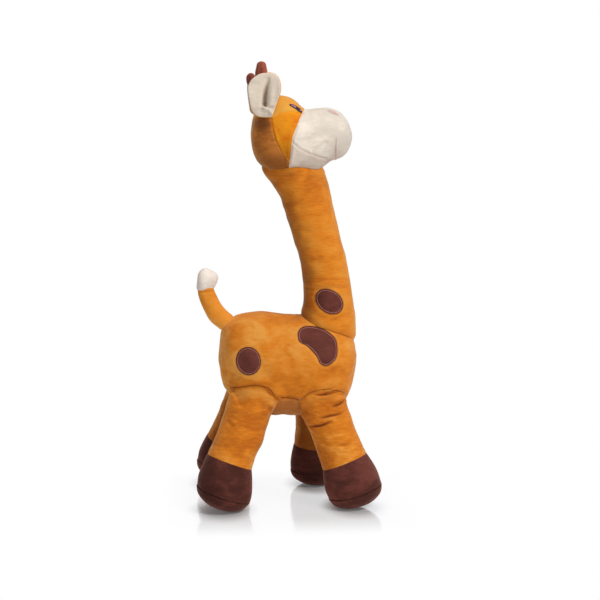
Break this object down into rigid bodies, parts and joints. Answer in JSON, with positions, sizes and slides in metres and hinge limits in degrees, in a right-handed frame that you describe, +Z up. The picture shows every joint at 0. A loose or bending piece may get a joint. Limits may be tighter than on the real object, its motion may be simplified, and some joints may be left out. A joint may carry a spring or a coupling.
{
  "type": "plush giraffe",
  "caption": "Standing stuffed giraffe toy of short-pile cloth panels over fibre filling, with a long neck, spotted flanks, soft hooves, leaf ears and stub horns.",
  "frame": {"origin": "the middle of the toy's box, on the floor that the soles rest on", "axes": "+X where the nose points, +Y the toy's left side, +Z up"},
  "size_m": [0.1638, 0.139, 0.3915],
  "materials": {
    "tan_minky": "short velvet pile",
    "cream_minky": "short velvet pile",
    "brown_minky": "short velvet pile",
    "horn_cloth": "short velvet pile",
    "stuffing": "loose polyester fibre",
    "eye_thread": "satin stitch",
    "pink_thread": "satin stitch"
  },
  "bodies": {
    "torso": {"torso_stuffing": "stuffing", "flank_panel_left": "tan_minky", "flank_panel_right": "tan_minky", "belly_panel": "tan_minky", "shoulder_spot_left": "brown_minky", "shoulder_spot_right": "brown_minky", "rump_spot_left": "brown_minky", "rump_spot_right": "brown_minky"},
    "neck": {"neck_cover": "tan_minky", "neck_stuffing": "stuffing", "neck_spot_left": "brown_minky", "neck_spot_right": "brown_minky"},
    "head": {"head_stuffing": "stuffing", "head_back_panel": "tan_minky", "cheek_panel_left": "tan_minky", "cheek_panel_right": "tan_minky", "forehead_panel": "tan_minky", "muzzle_panel": "cream_minky", "chin_panel": "cream_minky", "horn_left": "horn_cloth", "horn_right": "horn_cloth", "eye_stitch_left": "eye_thread", "eye_stitch_right": "eye_thread", "nostril_stitch_left": "pink_thread", "nostril_stitch_right": "pink_thread", "mouth_stitch": "pink_thread"},
    "ear_right": {"ear_back_right": "tan_minky", "ear_lining_right": "cream_minky"},
    "ear_left": {"ear_back_left": "tan_minky", "ear_lining_left": "cream_minky"},
    "tail": {"tail_cover": "tan_minky", "tail_stuffing": "stuffing", "tail_tip": "cream_minky"},
    "leg_front_right": {"leg_cover_front_right": "tan_minky", "leg_stuffing_front_right": "stuffing", "hoof_front_right": "brown_minky", "sole_front_right": "brown_minky"},
    "leg_front_left": {"leg_cover_front_left": "tan_minky", "leg_stuffing_front_left": "stuffing", "hoof_front_left": "brown_minky", "sole_front_left": "brown_minky"},
    "leg_hind_right": {"leg_cover_hind_right": "tan_minky", "leg_stuffing_hind_right": "stuffing", "hoof_hind_right": "brown_minky", "sole_hind_right": "brown_minky"},
    "leg_hind_left": {"leg_cover_hind_left": "tan_minky", "leg_stuffing_hind_left": "stuffing", "hoof_hind_left": "brown_minky", "sole_hind_left": "brown_minky"}
  },
  "joints": [
    {"name": "neck_bend", "type": "hinge", "parent": "torso", "child": "neck", "pos_m": [0.03784, 0, 0.155], "axis": [0, 1, 0], "range_deg": [-12, 12], "stiffness_Nm_per_rad": 1.5},
    {"name": "head_nod", "type": "hinge", "parent": "neck", "child": "head", "pos_m": [0.00534, 0, 0.3], "axis": [0, 1, 0], "range_deg": [-12, 12], "stiffness_Nm_per_rad": 0.8},
    {"name": "tail_wag", "type": "hinge", "parent": "torso", "child": "tail", "pos_m": [-0.05066, 0, 0.157], "axis": [0.6428, 0, 0.766], "range_deg": [-20, 20], "stiffness_Nm_per_rad": 0.05},
    {"name": "ear_flop_right", "type": "hinge", "parent": "head", "child": "ear_right", "pos_m": [-0.02006, -0.0255, 0.3445], "axis": [1, 0, 0], "range_deg": [-6, 40], "stiffness_Nm_per_rad": 0.02},
    {"name": "ear_flop_left", "type": "hinge", "parent": "head", "child": "ear_left", "pos_m": [-0.01816, 0.0262, 0.3445], "axis": [-1, 0, 0], "range_deg": [-6, 40], "stiffness_Nm_per_rad": 0.02},
    {"name": "leg_swing_front_right", "type": "hinge", "parent": "torso", "child": "leg_front_right", "pos_m": [0.02984, -0.0235, 0.092], "axis": [0, 1, 0], "range_deg": [-12, 12], "stiffness_Nm_per_rad": 2},
    {"name": "leg_swing_front_left", "type": "hinge", "parent": "torso", "child": "leg_front_left", "pos_m": [0.02984, 0.0235, 0.092], "axis": [0, 1, 0], "range_deg": [-12, 12], "stiffness_Nm_per_rad": 2},
    {"name": "leg_swing_hind_right", "type": "hinge", "parent": "torso", "child": "leg_hind_right", "pos_m": [-0.03146, -0.0235, 0.0935], "axis": [0, 1, 0], "range_deg": [-12, 12], "stiffness_Nm_per_rad": 2},
    {"name": "leg_swing_hind_left", "type": "hinge", "parent": "torso", "child": "leg_hind_left", "pos_m": [-0.03146, 0.0235, 0.0935], "axis": [0, 1, 0], "range_deg": [-12, 12], "stiffness_Nm_per_rad": 2}
  ]
}
